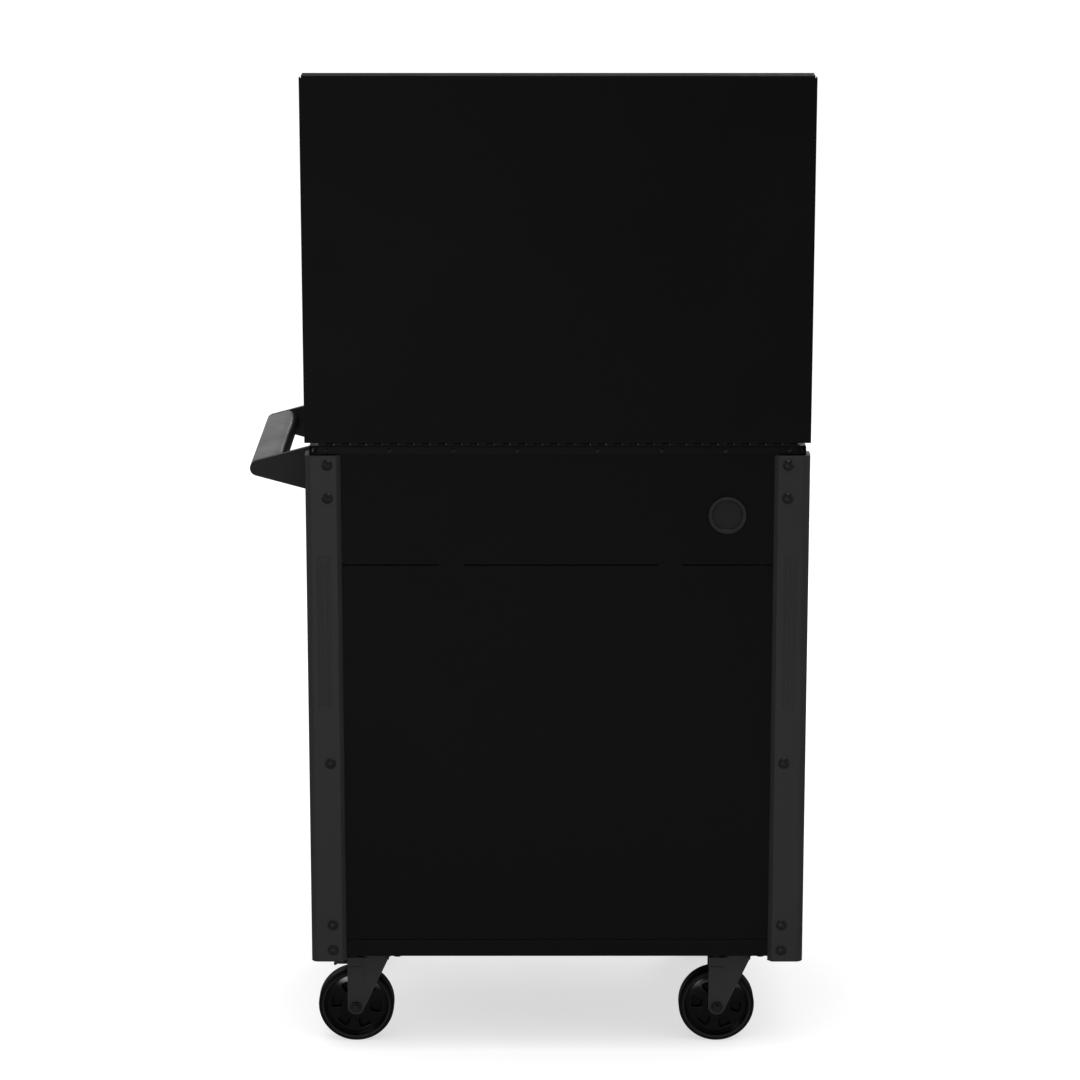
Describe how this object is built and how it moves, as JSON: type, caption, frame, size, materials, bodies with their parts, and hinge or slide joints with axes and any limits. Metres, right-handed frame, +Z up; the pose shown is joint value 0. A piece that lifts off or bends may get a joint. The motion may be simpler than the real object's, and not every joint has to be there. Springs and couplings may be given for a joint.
{
  "type": "rolling tool chest",
  "caption": "Black steel rolling tool chest: till under a lift-up lid on gas struts, drawers on ball slides, side push handle and swivel casters.",
  "frame": {"origin": "on the floor, under the centre of the whole object's box with the lid open and the drawers shut", "axes": "+Z up, +Y towards the back with the lid's hinge, drawers open towards -Y, the push handle is at +X"},
  "size_m": [0.898, 0.6024, 1.6085],
  "materials": {
    "black_powder_coat": "fine-texture satin black powder coat",
    "guard_plastic": "fine-grain charcoal moulded guard",
    "black_hardware": "black-coated screws, smooth satin",
    "black_hinge": "black-painted rolled steel",
    "hinge_pin_steel": "bright drawn wire",
    "grommet_plastic": "satin moulded plastic",
    "grommet_rubber": "soft matt rubber",
    "handle_arm_paint": "satin charcoal paint",
    "grip_metal": "satin grey metallic coat",
    "zinc_slide": "bright zinc plate with grease marks",
    "lock_chrome": "polished chrome",
    "caster_paint": "satin charcoal paint on pressed steel",
    "wheel_core": "glossy black moulded core",
    "wheel_tread": "smooth dark tread",
    "pedal_steel": "satin black pressed steel",
    "zinc_bracket": "dull zinc plate",
    "strut_black": "satin black tube",
    "strut_chrome": "hard chrome rod"
  },
  "bodies": {
    "cabinet": {"side_panel_left": "black_powder_coat", "side_panel_right": "black_powder_coat", "back_panel_upper": "black_powder_coat", "back_panel_lower": "black_powder_coat", "front_panel": "black_powder_coat", "bottom_pan": "black_powder_coat", "till_floor": "black_powder_coat", "corner_posts": "black_powder_coat", "corner_guards": "guard_plastic", "panel_screws": "black_hardware", "hinge_body_leaf": "black_hinge", "hinge_pin": "hinge_pin_steel", "cable_grommet": "grommet_plastic", "grommet_membrane": "grommet_rubber", "handle_arms": "handle_arm_paint", "handle_grip": "grip_metal", "drawer_slides_outer": "zinc_slide", "lock_body": "lock_chrome", "caster_plates": "caster_paint", "caster_bolts": "black_hardware", "strut_brackets": "zinc_bracket"},
    "lid": {"lid_panel": "black_powder_coat", "hinge_lid_leaf": "black_hinge", "lid_stiffener": "black_powder_coat", "lid_studs": "zinc_bracket"},
    "lock_plug": {"lock_plug": "lock_chrome"},
    "strut_left_cylinder": {"strut_left_cylinder": "strut_black"},
    "strut_left_rod": {"strut_left_rod": "strut_chrome"},
    "strut_right_cylinder": {"strut_right_cylinder": "strut_black"},
    "strut_right_rod": {"strut_right_rod": "strut_chrome"},
    "drawer_1": {"drawer_1_tub": "black_powder_coat", "drawer_1_front": "black_powder_coat"},
    "drawer_1_slides": {"drawer_1_slides_mid": "zinc_slide"},
    "drawer_2": {"drawer_2_tub": "black_powder_coat", "drawer_2_front": "black_powder_coat"},
    "drawer_2_slides": {"drawer_2_slides_mid": "zinc_slide"},
    "drawer_3": {"drawer_3_tub": "black_powder_coat", "drawer_3_front": "black_powder_coat"},
    "drawer_3_slides": {"drawer_3_slides_mid": "zinc_slide"},
    "drawer_4": {"drawer_4_tub": "black_powder_coat", "drawer_4_front": "black_powder_coat"},
    "drawer_4_slides": {"drawer_4_slides_mid": "zinc_slide"},
    "caster_rear_right_swivel": {"caster_rear_right_fork": "caster_paint", "caster_rear_right_axle": "black_hardware"},
    "caster_rear_right_wheel": {"caster_rear_right_core": "wheel_core", "caster_rear_right_tyre": "wheel_tread"},
    "caster_rear_right_pedal": {"caster_rear_right_pedal": "pedal_steel"},
    "caster_rear_left_swivel": {"caster_rear_left_fork": "caster_paint", "caster_rear_left_axle": "black_hardware"},
    "caster_rear_left_wheel": {"caster_rear_left_core": "wheel_core", "caster_rear_left_tyre": "wheel_tread"},
    "caster_front_right_swivel": {"caster_front_right_fork": "caster_paint", "caster_front_right_axle": "black_hardware"},
    "caster_front_right_wheel": {"caster_front_right_core": "wheel_core", "caster_front_right_tyre": "wheel_tread"},
    "caster_front_right_pedal": {"caster_front_right_pedal": "pedal_steel"},
    "caster_front_left_swivel": {"caster_front_left_fork": "caster_paint", "caster_front_left_axle": "black_hardware"},
    "caster_front_left_wheel": {"caster_front_left_core": "wheel_core", "caster_front_left_tyre": "wheel_tread"}
  },
  "joints": [
    {"name": "lid_hinge", "type": "hinge", "parent": "cabinet", "child": "lid", "pos_m": [0, 0.2835, 1.0225], "axis": [1, 0, 0], "range_deg": [0, 91]},
    {"name": "strut_left_swing", "type": "hinge", "parent": "cabinet", "child": "strut_left_cylinder", "pos_m": [-0.417, 0.2435, 0.9905], "axis": [1, 0, 0], "range_deg": [0, 91.45]},
    {"name": "strut_left_slide", "type": "slide", "parent": "strut_left_cylinder", "child": "strut_left_rod", "axis": [0, 0.1213, 0.9926], "range_m": [-0.07357, 0]},
    {"name": "strut_right_swing", "type": "hinge", "parent": "cabinet", "child": "strut_right_cylinder", "pos_m": [0.323, 0.2435, 0.9905], "axis": [1, 0, 0], "range_deg": [0, 91.45]},
    {"name": "strut_right_slide", "type": "slide", "parent": "strut_right_cylinder", "child": "strut_right_rod", "axis": [0, 0.1213, 0.9926], "range_m": [-0.07357, 0]},
    {"name": "lock_turn", "type": "hinge", "parent": "cabinet", "child": "lock_plug", "pos_m": [0.253, -0.28, 0.95], "axis": [0, 1, 0], "range_deg": [0, 90]},
    {"name": "drawer_1_slide", "type": "slide", "parent": "cabinet", "child": "drawer_1", "axis": [0, -1, 0], "range_m": [0, 0.44]},
    {"name": "drawer_1_mid_slide", "type": "slide", "parent": "cabinet", "child": "drawer_1_slides", "axis": [0, -1, 0], "range_m": [0, 0.2205]},
    {"name": "drawer_2_slide", "type": "slide", "parent": "cabinet", "child": "drawer_2", "axis": [0, -1, 0], "range_m": [0, 0.44]},
    {"name": "drawer_2_mid_slide", "type": "slide", "parent": "cabinet", "child": "drawer_2_slides", "axis": [0, -1, 0], "range_m": [0, 0.2205]},
    {"name": "drawer_3_slide", "type": "slide", "parent": "cabinet", "child": "drawer_3", "axis": [0, -1, 0], "range_m": [0, 0.44]},
    {"name": "drawer_3_mid_slide", "type": "slide", "parent": "cabinet", "child": "drawer_3_slides", "axis": [0, -1, 0], "range_m": [0, 0.2205]},
    {"name": "drawer_4_slide", "type": "slide", "parent": "cabinet", "child": "drawer_4", "axis": [0, -1, 0], "range_m": [0, 0.44]},
    {"name": "drawer_4_mid_slide", "type": "slide", "parent": "cabinet", "child": "drawer_4_slides", "axis": [0, -1, 0], "range_m": [0, 0.2205]},
    {"name": "caster_rear_right_swivel", "type": "hinge", "parent": "cabinet", "child": "caster_rear_right_swivel", "pos_m": [0.2517, 0.213, 0.15], "axis": [0, 0, 1], "continuous": true},
    {"name": "caster_rear_right_roll", "type": "hinge", "parent": "caster_rear_right_swivel", "child": "caster_rear_right_wheel", "pos_m": [0.2857, 0.213, 0.0625], "axis": [0, 1, 0], "continuous": true},
    {"name": "caster_rear_right_brake", "type": "hinge", "parent": "caster_rear_right_swivel", "child": "caster_rear_right_pedal", "pos_m": [0.2777, 0.213, 0.136], "axis": [0, 1, 0], "range_deg": [0, 8]},
    {"name": "caster_rear_left_swivel", "type": "hinge", "parent": "cabinet", "child": "caster_rear_left_swivel", "pos_m": [-0.3457, 0.213, 0.15], "axis": [0, 0, 1], "continuous": true},
    {"name": "caster_rear_left_roll", "type": "hinge", "parent": "caster_rear_left_swivel", "child": "caster_rear_left_wheel", "pos_m": [-0.3117, 0.213, 0.0625], "axis": [0, 1, 0], "continuous": true},
    {"name": "caster_front_right_swivel", "type": "hinge", "parent": "cabinet", "child": "caster_front_right_swivel", "pos_m": [0.2517, -0.213, 0.15], "axis": [0, 0, 1], "continuous": true},
    {"name": "caster_front_right_roll", "type": "hinge", "parent": "caster_front_right_swivel", "child": "caster_front_right_wheel", "pos_m": [0.2857, -0.213, 0.0625], "axis": [0, 1, 0], "continuous": true},
    {"name": "caster_front_right_brake", "type": "hinge", "parent": "caster_front_right_swivel", "child": "caster_front_right_pedal", "pos_m": [0.2777, -0.213, 0.136], "axis": [0, 1, 0], "range_deg": [0, 8]},
    {"name": "caster_front_left_swivel", "type": "hinge", "parent": "cabinet", "child": "caster_front_left_swivel", "pos_m": [-0.3457, -0.213, 0.15], "axis": [0, 0, 1], "continuous": true},
    {"name": "caster_front_left_roll", "type": "hinge", "parent": "caster_front_left_swivel", "child": "caster_front_left_wheel", "pos_m": [-0.3117, -0.213, 0.0625], "axis": [0, 1, 0], "continuous": true}
  ],
  "couplings": [
    {"joint": "strut_left_swing", "follows": "lid_hinge", "ratio": 0.99945},
    {"joint": "strut_left_slide", "follows": "lid_hinge", "m_per_rad": -0.046008},
    {"joint": "strut_right_swing", "follows": "lid_hinge", "ratio": 0.99945},
    {"joint": "strut_right_slide", "follows": "lid_hinge", "m_per_rad": -0.046008},
    {"joint": "drawer_1_mid_slide", "follows": "drawer_1_slide", "ratio": 0.5},
    {"joint": "drawer_2_mid_slide", "follows": "drawer_2_slide", "ratio": 0.5},
    {"joint": "drawer_3_mid_slide", "follows": "drawer_3_slide", "ratio": 0.5},
    {"joint": "drawer_4_mid_slide", "follows": "drawer_4_slide", "ratio": 0.5}
  ]
}
